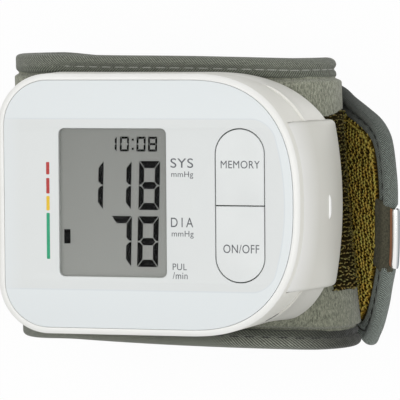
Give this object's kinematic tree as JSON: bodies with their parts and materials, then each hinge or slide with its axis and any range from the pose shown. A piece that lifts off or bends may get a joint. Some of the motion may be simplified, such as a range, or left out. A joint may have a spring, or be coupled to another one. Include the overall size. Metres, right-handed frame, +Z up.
{
  "type": "wrist blood pressure monitor",
  "caption": "Wrist blood pressure monitor: flared housing with display, flush keys and side battery door, on a rolled padded cuff with a hook-and-loop tongue",
  "frame": {"origin": "middle of the flat underside of the rolled cuff, on the surface it lies on", "axes": "+X right across the display, +Y along the wrist towards the display's top, +Z up out of the display"},
  "size_m": [0.1181, 0.0812, 0.0793],
  "materials": {
    "case_white": "satin",
    "door_white": "satin",
    "panel_white": "gloss",
    "key_white": "gloss",
    "clear_lens": "gloss",
    "display_grey": "satin",
    "dark_plastic": "matte",
    "board_green": "satin",
    "steel": "satin",
    "cell_sleeve": "satin",
    "pump_can": "satin",
    "silicone": "matte",
    "velour": "matte",
    "binding": "matte",
    "olive_hook": "matte",
    "dark_fabric": "matte",
    "lining": "matte",
    "curler": "satin",
    "clip_metal": "polished"
  },
  "bodies": {
    "monitor": {"front_case": "case_white", "rear_case": "case_white", "front_panel": "panel_white", "display_lens": "clear_lens", "display_glass": "display_grey", "display_holder": "dark_plastic", "display_connector": "dark_plastic", "memory_switch": "dark_plastic", "on_off_switch": "dark_plastic", "main_board": "board_green", "controller_chip": "dark_plastic", "buzzer": "dark_plastic", "pressure_sensor": "dark_plastic", "air_manifold": "dark_plastic", "pump_motor": "pump_can", "pump_head": "dark_plastic", "exhaust_valve": "pump_can", "pump_tube": "silicone", "valve_tube": "silicone", "battery_upper": "cell_sleeve", "battery_lower": "cell_sleeve", "battery_bridge": "steel", "bridge_spring": "steel", "positive_contact": "steel", "negative_contact": "steel", "negative_spring": "steel", "cuff_velour": "velour", "cuff_curler": "curler", "air_bladder": "silicone", "cuff_lining": "lining", "upper_binding": "binding", "lower_binding": "binding", "short_end_binding": "binding", "hook_patch": "olive_hook", "case_screw_1": "steel", "board_screw_1": "steel", "case_screw_2": "steel", "board_screw_2": "steel", "case_screw_3": "steel", "board_screw_3": "steel", "case_screw_4": "steel", "board_screw_4": "steel"},
    "memory_key": {"memory_button": "key_white"},
    "on_off_key": {"on_off_button": "key_white"},
    "door": {"battery_door": "door_white"},
    "tongue": {"tongue_velour": "velour", "tongue_loop_pad": "olive_hook", "tongue_binding": "binding", "tip_patch": "dark_fabric", "tip_clip": "clip_metal"}
  },
  "joints": [
    {"name": "memory_press", "type": "slide", "parent": "monitor", "child": "memory_key", "axis": [0, 0, -1], "range_m": [0, 0.0006], "stiffness_N_per_m": 800},
    {"name": "on_off_press", "type": "slide", "parent": "monitor", "child": "on_off_key", "axis": [0, 0, -1], "range_m": [0, 0.0006], "stiffness_N_per_m": 800},
    {"name": "battery_door_slide", "type": "slide", "parent": "monitor", "child": "door", "axis": [1, 0, 0], "range_m": [0, 0.014]},
    {"name": "tongue_flex", "type": "hinge", "parent": "monitor", "child": "tongue", "pos_m": [0.03243, 0, 0.00642], "axis": [0, 1, 0], "range_deg": [-2, 40], "stiffness_Nm_per_rad": 0.1, "springref_deg": -0.69}
  ]
}
